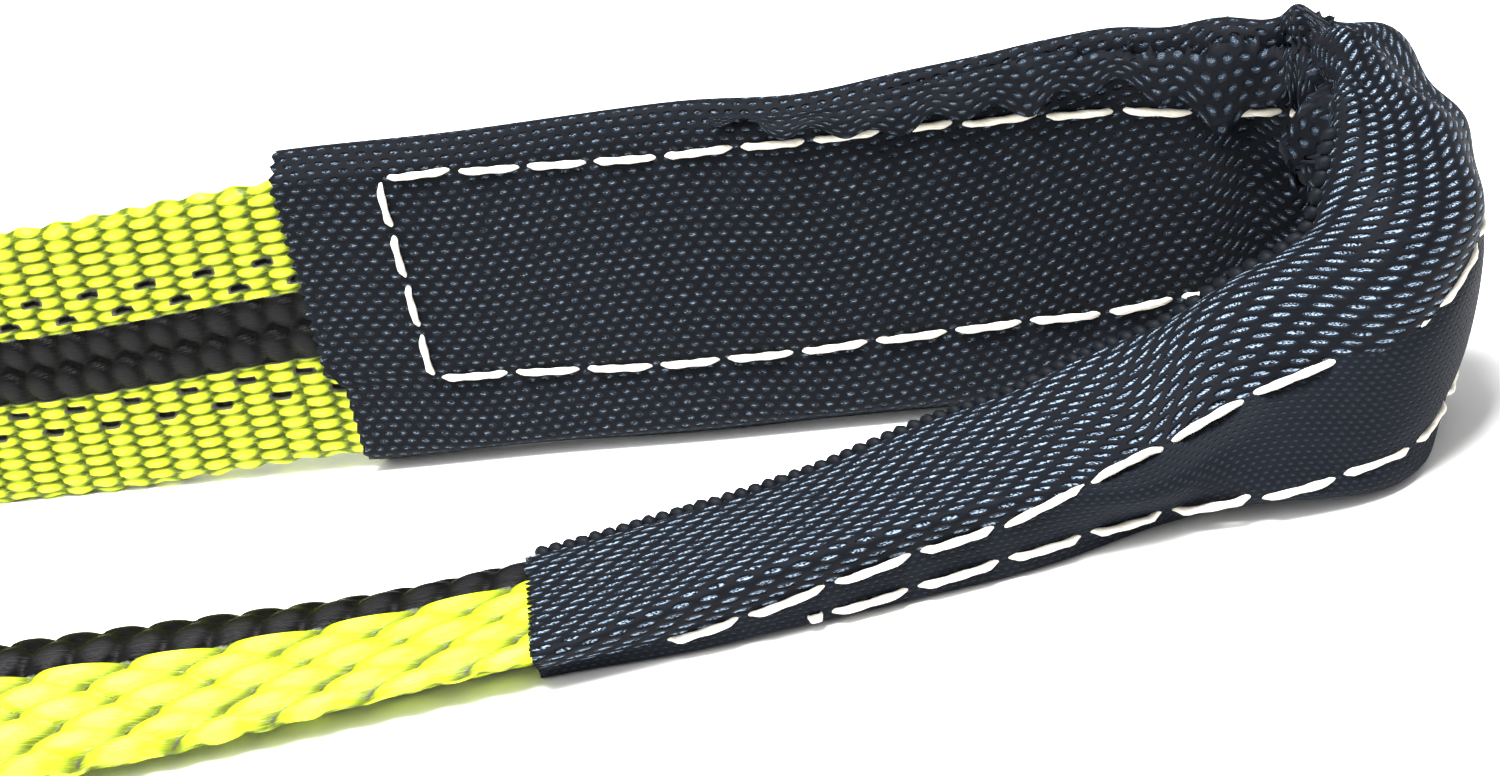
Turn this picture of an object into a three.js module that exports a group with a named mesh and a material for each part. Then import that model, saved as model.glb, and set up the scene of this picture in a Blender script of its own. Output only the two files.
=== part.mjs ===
// Endless web sling: one yellow web closed on itself by a sewn lap, with a woven
// wear sleeve sewn round the bend that takes the load. It stands on its edges.
// Millimetres, +Z up, the sleeved bend at +X. The origin is under the middle.
import * as THREE from 'three';

// Web
const WEB_WIDTH = 25;
const WEB_THICKNESS = 2.2;

// Plan of the loop, from the sleeved bend back to the far end
const BEND_RADIUS = 11;
const LEG_SPREAD = THREE.MathUtils.degToRad(8.8);
const LEG_LENGTH = 110;
const SHOULDER_RADIUS = 150;
const MIDDLE_LENGTH = 105;

// Sewn lap that closes the web
const LAP_LENGTH = 60;
const LAP_PLACE = 200;
const LAP_EASE = 30;
const LAYER_GAP = 0.3;

// Wear sleeve
const SLEEVE_REAR = 97;
const SLEEVE_FRONT = 75;
const SLEEVE_WALL = 0.8;
const SLEEVE_CLEARANCE = 0.35;
const SLEEVE_SLACK_TOP = 1.3;
const SLEEVE_SLACK_BOTTOM = 0.3;
const LIFT_EASE = 30;

// Sewing thread
const THREAD_RADIUS = 0.45;
const THREAD_GAP = 0.45;
const STITCH_LOW = 6.3;
const STITCH_HIGH = 23.3;
const STITCH_END_MARGIN = 6;
const STITCH_INNER_END = 14;
const LAP_STITCH_MARGIN = 4;
const LAP_ROWS = 4;

// Fineness of the faceted surfaces
const FINE_REACH = 28;
const STEP_BEND = 2.2;
const STEP_SLEEVE = 4;
const STEP_FREE = 9;
const STATION_GAP = 0.5;
const POINTS_BELOW = 4;
const POINTS_IN_FOLD = 4;
const POINTS_ABOVE = 2;
const EDGE_GAP = 0.4;
const SLEEVE_SIDES = 24;
const THREAD_SIDES = 6;
const HULL_ARC_POINTS = 12;
const CORNER_WEIGHT = 0.5;
const START_SLANT = 0.6;

// How the web stands and folds. Each row gives the place along the web from the bend (rear
// leg negative), the lean from upright towards the inside of the loop at the lower edge and
// below the fold, in degrees, and the distance from the centre stripe to the fold line, past
// which the web lies folded back under itself. A fold line past the upper edge leaves it flat.
const NO_FOLD = 17;
const FOLD_TURN = 174;
const FOLD_LENGTH = 4.4;
const FOLDS = [
  { place: -90, shape: [0, 0, NO_FOLD] },
  { place: -35, shape: [-5, 6, NO_FOLD] },
  { place: -14, shape: [-22, 16, NO_FOLD] },
  { place: 4, shape: [-34, 8, 6] },
  { place: 12, shape: [-16, 8, 4] },
  { place: 19, shape: [24, 28, 2.5] },
  { place: 28, shape: [56, 60, 1] },
  { place: 40, shape: [80, 82, 0] },
  { place: 58, shape: [94, 96, -1] },
  { place: 82, shape: [98, 100, -1.5] },
  { place: 104, shape: [86, 88, -0.5] },
  { place: 134, shape: [76, 78, 0] },
  { place: 204, shape: [0, 0, NO_FOLD] },
];

// Loose fabric that stands above the web: how far inside the bend and how high it reaches
const FABRIC_TOP = WEB_WIDTH + SLEEVE_SLACK_TOP;
const LOOSE_TOP = [
  { place: -35, reach: [0, FABRIC_TOP] },
  { place: -12, reach: [-5, FABRIC_TOP] },
  { place: 0, reach: [-6.5, FABRIC_TOP - 1.3] },
  { place: 9, reach: [-6.8, FABRIC_TOP - 2.8] },
  { place: 19, reach: [-7, 12] },
  { place: 28, reach: [-6, 6] },
  { place: 50, reach: [-5, 4] },
];

// Height of the two seams on the outer face of the sleeve, along the web
const SEAM_UPPER = [
  { place: -30, height: [STITCH_HIGH] },
  { place: -10, height: [20] },
  { place: 3, height: [14] },
  { place: 16, height: [9.8] },
  { place: 40, height: [4.6] },
  { place: 64, height: [2.6] },
];
const SEAM_LOWER = [
  { place: -30, height: [STITCH_LOW] },
  { place: 0, height: [3.5] },
  { place: 30, height: [1.6] },
];

// Smooth value between the rows of a table
function alongTable(rows, key, place) {
  if (place <= rows[0].place) return rows[0][key];
  const last = rows[rows.length - 1];
  if (place >= last.place) return last[key];
  const next = rows.findIndex((row) => row.place > place);
  const a = rows[next - 1];
  const b = rows[next];
  const share = THREE.MathUtils.smoothstep(place, a.place, b.place);
  return a[key].map((value, i) => THREE.MathUtils.lerp(value, b[key][i], share));
}

// Even steps from one distance to another, without the last
function divide(from, to, step) {
  const count = Math.ceil((to - from) / step);
  return Array.from({ length: count }, (_, i) => THREE.MathUtils.lerp(from, to, i / count));
}

// Half of the plan as arcs and straight stretches, each with its length and curvature
const bendTurn = Math.PI / 2 - LEG_SPREAD;
const halfWidth = BEND_RADIUS * Math.cos(LEG_SPREAD) + LEG_LENGTH * Math.sin(LEG_SPREAD)
  + SHOULDER_RADIUS * (1 - Math.cos(LEG_SPREAD));
const STRETCHES = [
  { length: BEND_RADIUS * bendTurn, curvature: 1 / BEND_RADIUS },
  { length: LEG_LENGTH, curvature: 0 },
  { length: SHOULDER_RADIUS * LEG_SPREAD, curvature: 1 / SHOULDER_RADIUS },
  { length: MIDDLE_LENGTH, curvature: 0 },
  { length: halfWidth * Math.PI / 2, curvature: 1 / halfWidth },
];
const halfLength = STRETCHES.reduce((sum, stretch) => sum + stretch.length, 0);
const loopLength = 2 * halfLength;

// Place on the plan at a distance along the web from the bend, with the outward normal
function onPlan(distance) {
  let signed = distance;
  while (signed > halfLength) signed -= loopLength;
  while (signed < -halfLength) signed += loopLength;
  let left = Math.abs(signed);
  let turn = 0;
  const point = new THREE.Vector2(0, 0);
  for (const { length, curvature } of STRETCHES) {
    const run = Math.min(left, length);
    const turned = run * curvature;
    if (curvature > 0) {
      point.x += (Math.cos(turn + turned) - Math.cos(turn)) / curvature;
      point.y += (Math.sin(turn) - Math.sin(turn + turned)) / curvature;
    } else {
      point.x -= run * Math.sin(turn);
      point.y -= run * Math.cos(turn);
    }
    turn += turned;
    left -= run;
  }
  const side = signed < 0 ? -1 : 1;
  return {
    signed,
    point: new THREE.Vector2(point.x, side * point.y),
    normal: new THREE.Vector2(Math.cos(turn), -side * Math.sin(turn)),
  };
}

// Places from the lower to the upper edge of the web where its section has a point
const halfWeb = WEB_WIDTH / 2;
function placesAcross(fold) {
  const start = Math.min(fold - FOLD_LENGTH / 2, halfWeb - 2 * EDGE_GAP);
  const end = Math.min(fold + FOLD_LENGTH / 2, halfWeb - EDGE_GAP);
  return [...divide(-halfWeb, start, (start + halfWeb) / POINTS_BELOW),
    ...divide(start, end, (end - start) / POINTS_IN_FOLD),
    ...divide(end, halfWeb, (halfWeb - end) / POINTS_ABOVE), halfWeb];
}

// Lean of the web from upright at a place across it
function leanAcross([lowLean, highLean, fold], across) {
  const plain = THREE.MathUtils.mapLinear(across, -halfWeb, halfWeb, lowLean, highLean);
  const start = fold - FOLD_LENGTH / 2;
  const turned = THREE.MathUtils.clamp((across - start) / FOLD_LENGTH, 0, 1) * FOLD_TURN;
  return THREE.MathUtils.degToRad(plain + turned);
}

// Height of the web's lower edge: it lies in the sleeve and comes down to the floor outside
const sleeveLift = SLEEVE_WALL + SLEEVE_CLEARANCE + SLEEVE_SLACK_BOTTOM;
function liftAt(signed) {
  const outside = signed < 0 ? -signed - SLEEVE_REAR : signed - SLEEVE_FRONT;
  return sleeveLift * (1 - THREE.MathUtils.smoothstep(outside, 0, LIFT_EASE));
}

// Section of the web as a closed outline of (outward, height) points
function webSection(signed) {
  const shape = alongTable(FOLDS, 'shape', signed);
  const line = [];
  const at = new THREE.Vector2(0, 0);
  let before = -halfWeb;
  for (const across of placesAcross(shape[2])) {
    const middle = leanAcross(shape, (across + before) / 2);
    at.x -= (across - before) * Math.sin(middle);
    at.y += (across - before) * Math.cos(middle);
    before = across;
    const angle = leanAcross(shape, across);
    line.push({ at: at.clone(), out: new THREE.Vector2(Math.cos(angle), Math.sin(angle)) });
  }
  const half = WEB_THICKNESS / 2;
  const outer = line.map(({ at: p, out }) => p.clone().addScaledVector(out, half));
  const inner = line.map(({ at: p, out }) => p.clone().addScaledVector(out, -half));
  const outline = [...outer, ...inner.reverse()];
  const furthest = Math.max(...line.map(({ at: p }) => p.x));
  const lowest = Math.min(...outline.map((p) => p.y));
  const shift = new THREE.Vector2(-furthest, liftAt(signed) - lowest);
  return outline.map((p) => p.add(shift));
}

// Convex outline round a set of points, counter-clockwise from its lower outer corner
function hull(points) {
  const sorted = [...points].sort((a, b) => a.x - b.x || a.y - b.y);
  const half = (list) => {
    const chain = [];
    for (const p of list) {
      while (chain.length > 1) {
        const a = chain[chain.length - 2];
        const b = chain[chain.length - 1];
        if ((b.x - a.x) * (p.y - a.y) - (b.y - a.y) * (p.x - a.x) > 0) break;
        chain.pop();
      }
      chain.push(p);
    }
    chain.pop();
    return chain;
  };
  const ring = [...half(sorted), ...half(sorted.reverse())];
  const lowAndOut = (p) => p.x * START_SLANT - p.y;
  const first = ring.reduce((best, p, i) => (lowAndOut(p) > lowAndOut(ring[best]) ? i : best), 0);
  return [...ring.slice(first), ...ring.slice(0, first)];
}

// The same outline with a set number of points, closer together where it turns
function resample(ring, count) {
  const steps = ring.map((p, i) => {
    const before = ring[(i + ring.length - 1) % ring.length];
    const after = ring[(i + 1) % ring.length];
    const inward = p.clone().sub(before).angle();
    const onward = after.clone().sub(p).angle();
    const turn = (onward - inward + 2 * Math.PI) % (2 * Math.PI);
    return { length: p.distanceTo(after), turn };
  });
  const perimeter = steps.reduce((sum, step) => sum + step.length, 0);
  const weights = steps.map((step, i) => {
    const turn = (step.turn + steps[(i + 1) % steps.length].turn) / 2;
    return (1 - CORNER_WEIGHT) * step.length / perimeter + CORNER_WEIGHT * turn / (2 * Math.PI);
  });
  const total = weights.reduce((sum, weight) => sum + weight, 0);
  const result = [];
  let index = 0;
  let passed = 0;
  for (let k = 0; k < count; k += 1) {
    const target = total * k / count;
    while (passed + weights[index] < target) {
      passed += weights[index];
      index += 1;
    }
    const share = weights[index] > 0 ? (target - passed) / weights[index] : 0;
    result.push(ring[index].clone().lerp(ring[(index + 1) % ring.length], share));
  }
  return result;
}

// Section of the sleeve: a tube round the folded web and its own loose fabric
function sleeveSection(signed, offset) {
  const web = webSection(signed);
  const lowest = web.reduce((best, p) => (p.y < best.y ? p : best));
  const [reach, height] = alongTable(LOOSE_TOP, 'reach', signed);
  const held = [...web, lowest.clone().setY(lowest.y - SLEEVE_SLACK_BOTTOM),
    new THREE.Vector2(reach, sleeveLift + height)];
  const cloud = [];
  for (const p of held) {
    for (let k = 0; k < HULL_ARC_POINTS; k += 1) {
      const angle = 2 * Math.PI * k / HULL_ARC_POINTS;
      cloud.push(new THREE.Vector2(p.x + offset * Math.cos(angle), p.y + offset * Math.sin(angle)));
    }
  }
  return resample(hull(cloud), SLEEVE_SIDES);
}

// A section point (outward, height) at a distance along the web, in space
function place(distance, sectionPoint, aside = 0) {
  const { point, normal } = onPlan(distance);
  const out = sectionPoint.x + aside;
  return new THREE.Vector3(point.x + normal.x * out, point.y + normal.y * out, sectionPoint.y);
}

// Distances where the sections stand, closer together in the sleeve and round its bend
const sectionPlaces = [...divide(-halfLength, -SLEEVE_REAR, STEP_FREE),
  ...divide(-SLEEVE_REAR, -FINE_REACH, STEP_SLEEVE), ...divide(-FINE_REACH, FINE_REACH, STEP_BEND),
  ...divide(FINE_REACH, SLEEVE_FRONT, STEP_SLEEVE), ...divide(SLEEVE_FRONT, halfLength, STEP_FREE)];
function stations(from, to) {
  const inside = [...sectionPlaces, ...sectionPlaces.map((distance) => distance + loopLength)]
    .filter((distance) => distance > from + STATION_GAP && distance < to - STATION_GAP);
  return [from, ...inside, to];
}

// Closed surface over a row of rings. The row closes on itself or ends in two flat caps.
function skin(rings, closed) {
  const count = rings[0].length;
  const positions = rings.flat().flatMap((p) => [p.x, p.y, p.z]);
  const indices = [];
  const rows = closed ? rings.length : rings.length - 1;
  for (let i = 0; i < rows; i += 1) {
    const here = i * count;
    const there = ((i + 1) % rings.length) * count;
    for (let k = 0; k < count; k += 1) {
      const next = (k + 1) % count;
      indices.push(here + k, here + next, there + k);
      indices.push(here + next, there + next, there + k);
    }
  }
  if (!closed) {
    const end = (rings.length - 1) * count;
    for (let k = 1; k < count - 1; k += 1) {
      indices.push(0, k + 1, k);
      indices.push(end, end + k, end + k + 1);
    }
  }
  const geometry = new THREE.BufferGeometry();
  geometry.setAttribute('position', new THREE.Float32BufferAttribute(positions, 3));
  geometry.setIndex(indices);
  geometry.computeVertexNormals();
  return geometry;
}

// The web: one ribbon round the whole loop, its two ends lying on each other at the lap
const lapStart = -LAP_PLACE - LAP_LENGTH / 2;
const lapEnd = lapStart + LAP_LENGTH;
const layerShift = (WEB_THICKNESS + LAYER_GAP) / 2;
function webAside(distance) {
  const inside = 1 - THREE.MathUtils.smoothstep(distance, lapEnd, lapEnd + LAP_EASE);
  const outerStart = lapStart + loopLength;
  const outside = THREE.MathUtils.smoothstep(distance, outerStart - LAP_EASE, outerStart);
  return layerShift * (outside - inside);
}
function webGeometry() {
  const rings = stations(lapStart, lapEnd + loopLength).map((distance) => {
    const { signed } = onPlan(distance);
    return webSection(signed).map((p) => place(distance, p, webAside(distance)));
  });
  return skin(rings, false);
}

// The sleeve: the outer wall one way along the web and the inner wall back
function sleeveGeometry() {
  const along = stations(-SLEEVE_REAR, SLEEVE_FRONT);
  const wall = (offset) => along.map((distance) => sleeveSection(distance, offset)
    .map((p) => place(distance, p)));
  const outer = wall(SLEEVE_CLEARANCE + SLEEVE_WALL);
  const inner = wall(SLEEVE_CLEARANCE);
  return skin([...outer, ...inner.reverse()], true);
}

// Seat of a thread on the sleeve at a height, on its outer (side 1) or inner (side -1) face
function onSleeve(distance, height, side) {
  const ring = sleeveSection(distance, SLEEVE_CLEARANCE + SLEEVE_WALL);
  let best = null;
  ring.forEach((a, i) => {
    const b = ring[(i + 1) % ring.length];
    if ((a.y - height) * (b.y - height) > 0 || a.y === b.y) return;
    const hit = a.clone().lerp(b, (height - a.y) / (b.y - a.y));
    const facing = new THREE.Vector2(b.y - a.y, a.x - b.x).normalize();
    if (!best || (hit.x - best.hit.x) * side > 0) best = { hit, facing };
  });
  const seat = best.hit.clone().addScaledVector(best.facing, THREAD_RADIUS + THREAD_GAP);
  const at = place(distance, seat);
  const facing = place(distance, seat.clone().add(best.facing)).sub(at);
  return { at, facing };
}

// A thread: a thin round rod along a line of seats
function threadGeometry(seats) {
  const rings = seats.map(({ at, facing }, i) => {
    const before = seats[Math.max(i - 1, 0)].at;
    const after = seats[Math.min(i + 1, seats.length - 1)].at;
    const ahead = after.clone().sub(before).normalize();
    const across = new THREE.Vector3().crossVectors(ahead, facing).normalize();
    const away = new THREE.Vector3().crossVectors(across, ahead);
    return Array.from({ length: THREAD_SIDES }, (_, k) => {
      const angle = 2 * Math.PI * k / THREAD_SIDES;
      return at.clone().addScaledVector(away, THREAD_RADIUS * Math.cos(angle))
        .addScaledVector(across, THREAD_RADIUS * Math.sin(angle));
    });
  });
  return skin(rings, false);
}

// Seams of the sleeve: up one long line, across at the rear end and back along the other
function seamGeometry(side, upper, lower, upperEnd, lowerEnd) {
  const rearEnd = -SLEEVE_REAR + STITCH_END_MARGIN;
  const upperLine = stations(rearEnd, upperEnd).reverse()
    .map((distance) => onSleeve(distance, upper(distance), side));
  const lowerLine = stations(rearEnd, lowerEnd)
    .map((distance) => onSleeve(distance, lower(distance), side));
  const middle = (upper(rearEnd) + lower(rearEnd)) / 2;
  return threadGeometry([...upperLine, onSleeve(rearEnd, middle, side), ...lowerLine]);
}

// Seam of the lap: one thread to and fro in rows on one face of the two layers
function lapSeamGeometry(side) {
  const aside = side * (layerShift + WEB_THICKNESS / 2 + THREAD_RADIUS + THREAD_GAP);
  const low = LAP_STITCH_MARGIN;
  const pitch = (WEB_WIDTH - 2 * LAP_STITCH_MARGIN) / (LAP_ROWS - 1);
  const ends = [lapStart + LAP_STITCH_MARGIN, lapEnd - LAP_STITCH_MARGIN];
  const seats = [];
  for (let row = 0; row < LAP_ROWS; row += 1) {
    const height = low + row * pitch;
    const order = row % 2 === 0 ? ends : [...ends].reverse();
    for (const distance of order) {
      const at = place(distance, new THREE.Vector2(0, height), aside);
      const facing = place(distance, new THREE.Vector2(side, height), aside).sub(at);
      seats.push({ at, facing });
    }
  }
  return threadGeometry(seats);
}

function mesh(name, geometry, finish) {
  const made = new THREE.Mesh(geometry, new THREE.MeshStandardMaterial({ ...finish, metalness: 0 }));
  made.name = name;
  return made;
}

const flat = (value) => () => value;
const alongSeam = (rows) => (distance) => alongTable(rows, 'height', distance)[0];
const YELLOW_WEB = { color: 0xd8f51c, roughness: 0.5 };
const BLACK_FABRIC = { color: 0x1d2129, roughness: 0.7 };
const WHITE_THREAD = { color: 0xe8e6dc, roughness: 0.6 };

const pieces = new THREE.Group();
pieces.add(mesh('web_strap', webGeometry(), YELLOW_WEB));
pieces.add(mesh('wear_sleeve', sleeveGeometry(), BLACK_FABRIC));
pieces.add(mesh('sleeve_seam_outer', seamGeometry(
  1, alongSeam(SEAM_UPPER), alongSeam(SEAM_LOWER), SEAM_UPPER.at(-1).place, SEAM_LOWER.at(-1).place,
), WHITE_THREAD));
pieces.add(mesh('sleeve_seam_inner', seamGeometry(
  -1, flat(STITCH_HIGH), flat(STITCH_LOW), -STITCH_INNER_END, -STITCH_INNER_END,
), WHITE_THREAD));
pieces.add(mesh('lap_seam_outer', lapSeamGeometry(1), WHITE_THREAD));
pieces.add(mesh('lap_seam_inner', lapSeamGeometry(-1), WHITE_THREAD));

const bounds = new THREE.Box3().setFromObject(pieces);
const centre = bounds.getCenter(new THREE.Vector3());
pieces.position.set(-centre.x, -centre.y, -bounds.min.z);

const sling = new THREE.Group();
sling.add(pieces);
export default sling;
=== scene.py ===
"""Look of the web sling: woven yellow web, woven wear sleeve and its hand-thick stitches."""
import math

import bpy
import numpy as np
from mathutils import Matrix, Vector


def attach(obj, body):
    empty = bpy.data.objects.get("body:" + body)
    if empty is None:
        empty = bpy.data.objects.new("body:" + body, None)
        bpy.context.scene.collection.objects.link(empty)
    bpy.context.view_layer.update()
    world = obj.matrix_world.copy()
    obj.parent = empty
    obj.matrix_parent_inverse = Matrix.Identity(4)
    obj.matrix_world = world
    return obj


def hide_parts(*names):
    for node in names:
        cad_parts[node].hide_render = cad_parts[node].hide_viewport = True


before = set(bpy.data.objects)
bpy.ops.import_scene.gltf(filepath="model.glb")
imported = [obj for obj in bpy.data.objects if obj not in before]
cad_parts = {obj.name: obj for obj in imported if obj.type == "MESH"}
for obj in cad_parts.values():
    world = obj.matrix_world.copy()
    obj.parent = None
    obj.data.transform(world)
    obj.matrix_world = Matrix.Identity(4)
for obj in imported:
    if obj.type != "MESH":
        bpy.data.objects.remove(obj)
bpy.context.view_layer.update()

MM = 0.001
rng = np.random.default_rng(7)

# Sizes in millimetres, as the solid frame has them.
WEB_WIDTH, WEB_THICKNESS = 25.0, 2.2
HALF_WEB = WEB_WIDTH / 2
BEND_RADIUS, LEG_SPREAD = 11.0, math.radians(8.8)
LEG_LENGTH, SHOULDER_RADIUS, MIDDLE_LENGTH = 110.0, 150.0, 105.0
LAP_LENGTH, LAP_PLACE, LAP_EASE, LAYER_GAP = 60.0, 200.0, 30.0, 0.3
SLEEVE_REAR, SLEEVE_FRONT = 97.0, 75.0
SLEEVE_WALL, SLEEVE_CLEARANCE, SLEEVE_SLACK = 0.8, 0.35, 0.3
SLEEVE_LIFT = SLEEVE_WALL + SLEEVE_CLEARANCE + SLEEVE_SLACK
LIFT_EASE = 30.0
FOLD_TURN, FOLD_LENGTH = 181.0, 4.1
CENTRE_SHIFT = np.array([136.7239, -1.3])
FLOOR_GAP = 0.02

# Place along the web from the bend: lean at the lower edge, lean at the upper edge, fold line.
FOLDS = [(-90, 0, 0, 17), (-35, -5, 6, 17), (-14, -22, 16, 17), (4, -34, 8, 6), (12, -16, 8, 4),
         (19, 24, 28, 2.5), (28, 56, 60, 1), (40, 80, 82, 0), (58, 88, 90, 0.3),
         (80, 78, 82, 1.0), (104, 70, 75, 1.5), (150, 64, 68, 1.6), (215, 0, 0, 17)]
# Place along the web: how far the loose fabric above the web reaches inwards, and its height.
LOOSE_TOP = [(-97, 1.5, 27.4), (-62, 0.5, 27.6), (-54, 0.5, 26.6), (-42, 0, 28), (-30, -1.5, 29.5),
             (-20, -4, 29.6), (-8, -5.5, 29.3), (0, -5.5, 27.6), (9, -5, 24.5), (19, -5.5, 12),
             (28, -6, 6), (50, -5, 4)]


def table(rows, place):
    """Smooth values between the rows of a table."""
    if place <= rows[0][0]:
        return np.array(rows[0][1:], float)
    for a, b in zip(rows, rows[1:]):
        if place < b[0]:
            t = (place - a[0]) / (b[0] - a[0])
            t = t * t * (3 - 2 * t)
            return np.array(a[1:], float) * (1 - t) + np.array(b[1:], float) * t
    return np.array(rows[-1][1:], float)


def smooth(x, a, b):
    """0 before a, 1 after b and an even rise between them."""
    t = np.clip((x - a) / (b - a), 0, 1)
    return t * t * (3 - 2 * t)


# Plan of the loop, from the middle of the bend: length and curve of each stretch.
HALF_WIDTH = (BEND_RADIUS * math.cos(LEG_SPREAD) + LEG_LENGTH * math.sin(LEG_SPREAD)
              + SHOULDER_RADIUS * (1 - math.cos(LEG_SPREAD)))
STRETCHES = [(BEND_RADIUS * (math.pi / 2 - LEG_SPREAD), 1 / BEND_RADIUS), (LEG_LENGTH, 0.0),
             (SHOULDER_RADIUS * LEG_SPREAD, 1 / SHOULDER_RADIUS), (MIDDLE_LENGTH, 0.0),
             (HALF_WIDTH * math.pi / 2, 1 / HALF_WIDTH)]
HALF_LENGTH = sum(length for length, _ in STRETCHES)
LOOP_LENGTH = 2 * HALF_LENGTH


def on_plan(distance):
    """Place along the web, point on the plan and outward normal."""
    signed = (distance + HALF_LENGTH) % LOOP_LENGTH - HALF_LENGTH
    left, turn, x, y = abs(signed), 0.0, 0.0, 0.0
    for length, curve in STRETCHES:
        run = min(left, length)
        if curve:
            x += (math.cos(turn + run * curve) - math.cos(turn)) / curve
            y += (math.sin(turn) - math.sin(turn + run * curve)) / curve
        else:
            x -= run * math.sin(turn)
            y -= run * math.cos(turn)
        turn += run * curve
        left -= run
    side = -1 if signed < 0 else 1
    outward = np.array([math.cos(turn), -side * math.sin(turn)])
    return signed, np.array([x, side * y]) + CENTRE_SHIFT, outward


# Places across the web at which its section is worked out.
ACROSS = np.linspace(-HALF_WEB, HALF_WEB, 126)


def section(signed):
    """Middle line of the web and its outward direction, as (outward, height) rows over ACROSS."""
    low, high, fold = table(FOLDS, signed)

    def lean(u):
        plain = low + (high - low) * (u + HALF_WEB) / WEB_WIDTH
        turned = np.clip((u - fold + FOLD_LENGTH / 2) / FOLD_LENGTH, 0, 1) * FOLD_TURN
        return np.radians(plain + turned)

    middle = lean((ACROSS[1:] + ACROSS[:-1]) / 2)
    step = np.diff(ACROSS)
    x = np.concatenate([[0], np.cumsum(-step * np.sin(middle))])
    z = np.concatenate([[0], np.cumsum(step * np.cos(middle))])
    at = np.stack([x, z], 1)
    out = np.stack([np.cos(lean(ACROSS)), np.sin(lean(ACROSS))], 1)
    both = np.concatenate([at + out * WEB_THICKNESS / 2, at - out * WEB_THICKNESS / 2])
    outside = -signed - SLEEVE_REAR if signed < 0 else signed - SLEEVE_FRONT
    lift = SLEEVE_LIFT * (1 - smooth(outside, 0, LIFT_EASE))
    return at + np.array([-x.max(), lift - both[:, 1].min()]), out


def squeeze(signed):
    """How much of its height the bundle keeps where the sleeve's front end grips it."""
    lost = 0.2 * smooth(signed, 42, 66) + 0.2 * smooth(signed, 60, 76)
    return 1 - lost * (1 - smooth(signed, 80, 122))


def set_out(signed):
    """How far the front leg lies outside its even line near the end of the sleeve."""
    return 2.2 * smooth(signed, 25, 72) * (1 - smooth(signed, 115, 190))


def aside(distance):
    """How far the web steps out or in beside its lap."""
    start = -LAP_PLACE - LAP_LENGTH / 2
    end = start + LAP_LENGTH
    shift = (WEB_THICKNESS + LAYER_GAP) / 2
    inside = 1 - smooth(distance, end, end + LAP_EASE)
    outside = smooth(distance, start + LOOP_LENGTH - LAP_EASE, start + LOOP_LENGTH)
    return shift * (outside - inside)


def make_mesh(name, points, quads, uv=None, layers=None, material=None):
    """A smooth mesh from points in millimetres, with its place on the fabric and its value layers."""
    mesh = bpy.data.meshes.new(name)
    mesh.from_pydata((points * MM).tolist(), [], quads)
    if uv is not None:
        corner = np.array([v for q in quads for v in q])
        layer = mesh.uv_layers.new(name="place")
        layer.data.foreach_set("uv", uv[corner].astype(np.float32).ravel())
    for key, values in (layers or {}).items():
        attribute = mesh.attributes.new(key, "FLOAT", "POINT")
        attribute.data.foreach_set("value", np.asarray(values, np.float32).ravel())
    mesh.polygons.foreach_set("use_smooth", [True] * len(mesh.polygons))
    obj = bpy.data.objects.new(name, mesh)
    bpy.context.scene.collection.objects.link(obj)
    if material:
        mesh.materials.append(material)
    return obj


def grid_quads(rows, count, close=False):
    """Faces between rows of points that each close on themselves."""
    quads = []
    for i in range(rows if close else rows - 1):
        here, there = i * count, ((i + 1) % rows) * count
        for k in range(count):
            n = (k + 1) % count
            quads.append((here + k, here + n, there + n, there + k))
    return quads


# Weave of the web: leaf-shaped yarns outside, ribs inside, two black strands with black flecks beside.
STRIPE, STRAND_PLACE = 3.0, 1.5
LEAF_PITCH, LEAF_ROW, LEAF_HALF, LEAF_SLANT = 7.0, 1.75, 1.66, 0.8
RIB_PITCH, RIB_HEIGHT = 2.83, 1.08
OUTER_STRAND_PITCH, INNER_STRAND_PITCH = 3.4, 2.9
FLECK_PITCH = 5.66
FLECKS = ((4.1, 0.0), (6.0, 2.83), (-4.1, 2.0), (-6.0, 4.8))
EDGE_START, EDGE_ROUNDING, EDGE_LOOP_PITCH = 11.3, 1.2, 3.45


def leaves(s, u, pitch, row, half, slant):
    """Crown of the leaf-shaped yarns in shifted rows, and the place along each from tail to tip."""
    best = np.zeros_like(s)
    tip = np.zeros_like(s)
    for parity in (0, 1):
        line = 2 * np.round((u / row - parity) / 2) + parity
        dy = u - line * row
        uneven = 0.13 * pitch * np.sin(line * 1.7)
        dx = (s + parity * pitch / 2 + uneven + slant * dy) % pitch - pitch / 2
        f = 1 - (2 * dx / pitch) ** 2 - (dy / half) ** 2
        tip = np.where(f > best, dx / pitch, tip)
        best = np.maximum(best, f)
    return best, tip


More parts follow.
